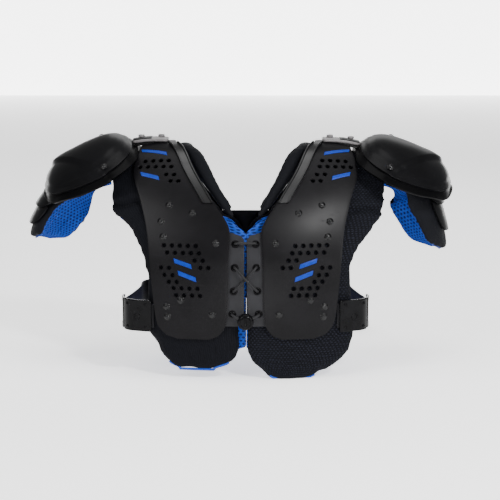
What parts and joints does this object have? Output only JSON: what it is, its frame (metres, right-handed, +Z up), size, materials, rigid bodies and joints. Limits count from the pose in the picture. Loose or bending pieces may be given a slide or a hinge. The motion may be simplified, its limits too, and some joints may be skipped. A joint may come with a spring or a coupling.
{
  "type": "football shoulder pads",
  "caption": "Football shoulder pads: black arched shells over padded bodies, domed shoulder caps and arm pads, blue mesh lining and a laced chest.",
  "frame": {"origin": "floor under the middle of the bounding box, with the pads standing on their hems", "axes": "+X along the shoulders towards the picture's right, +Y towards the back, +Z up"},
  "size_m": [0.5784, 0.2446, 0.3138],
  "materials": {
    "shell": "satin moulded plastic",
    "cap_shell": "satin black moulded plastic",
    "pad_fabric": "woven cover over foam",
    "cushion": "smooth cushioned cover",
    "mesh_lining": "blue mesh",
    "flap_plastic": "matt flexible plastic",
    "lacing": "round woven cord",
    "webbing": "woven strap",
    "strap_grey": "light grey strap end",
    "black_plastic": "glossy black fittings",
    "grey_metal": "grey painted metal"
  },
  "bodies": {
    "root": {"arch_left": "shell", "body_pad_left": "pad_fabric", "liner_left": "mesh_lining", "neck_roll_left": "cushion", "neck_rail_left": "shell", "shoulder_bar_left": "grey_metal", "bar_bolt_inner_left": "grey_metal", "bar_bolt_outer_left": "grey_metal", "cap_left": "cap_shell", "cap_rivet_front_left": "black_plastic", "cap_rivet_top_left": "black_plastic", "epaulet_left": "cap_shell", "arm_pad_left": "pad_fabric", "arm_liner_left": "mesh_lining", "arm_cup_lower_left": "cap_shell", "arm_cup_upper_left": "cap_shell", "lace_flap_left": "flap_plastic", "eyelet_1_left": "black_plastic", "eyelet_2_left": "black_plastic", "eyelet_3_left": "black_plastic", "eyelet_4_left": "black_plastic", "lace_end_left": "lacing", "belt_left": "webbing", "belt_bracket_left": "black_plastic", "belt_buckle_left": "black_plastic", "strap_end_left": "strap_grey", "arch_right": "shell", "body_pad_right": "pad_fabric", "liner_right": "mesh_lining", "neck_roll_right": "cushion", "neck_rail_right": "shell", "shoulder_bar_right": "grey_metal", "bar_bolt_inner_right": "grey_metal", "bar_bolt_outer_right": "grey_metal", "cap_right": "cap_shell", "cap_rivet_front_right": "black_plastic", "cap_rivet_top_right": "black_plastic", "epaulet_right": "cap_shell", "arm_pad_right": "pad_fabric", "arm_liner_right": "mesh_lining", "arm_cup_lower_right": "cap_shell", "arm_cup_upper_right": "cap_shell", "lace_flap_right": "flap_plastic", "eyelet_1_right": "black_plastic", "eyelet_2_right": "black_plastic", "eyelet_3_right": "black_plastic", "eyelet_4_right": "black_plastic", "lace_end_right": "lacing", "belt_right": "webbing", "belt_bracket_right": "black_plastic", "belt_buckle_right": "black_plastic", "strap_end_right": "strap_grey", "lace_top": "lacing", "lace_cross": "lacing", "cord_lock": "black_plastic", "back_panel": "shell"}
  },
  "joints": []
}
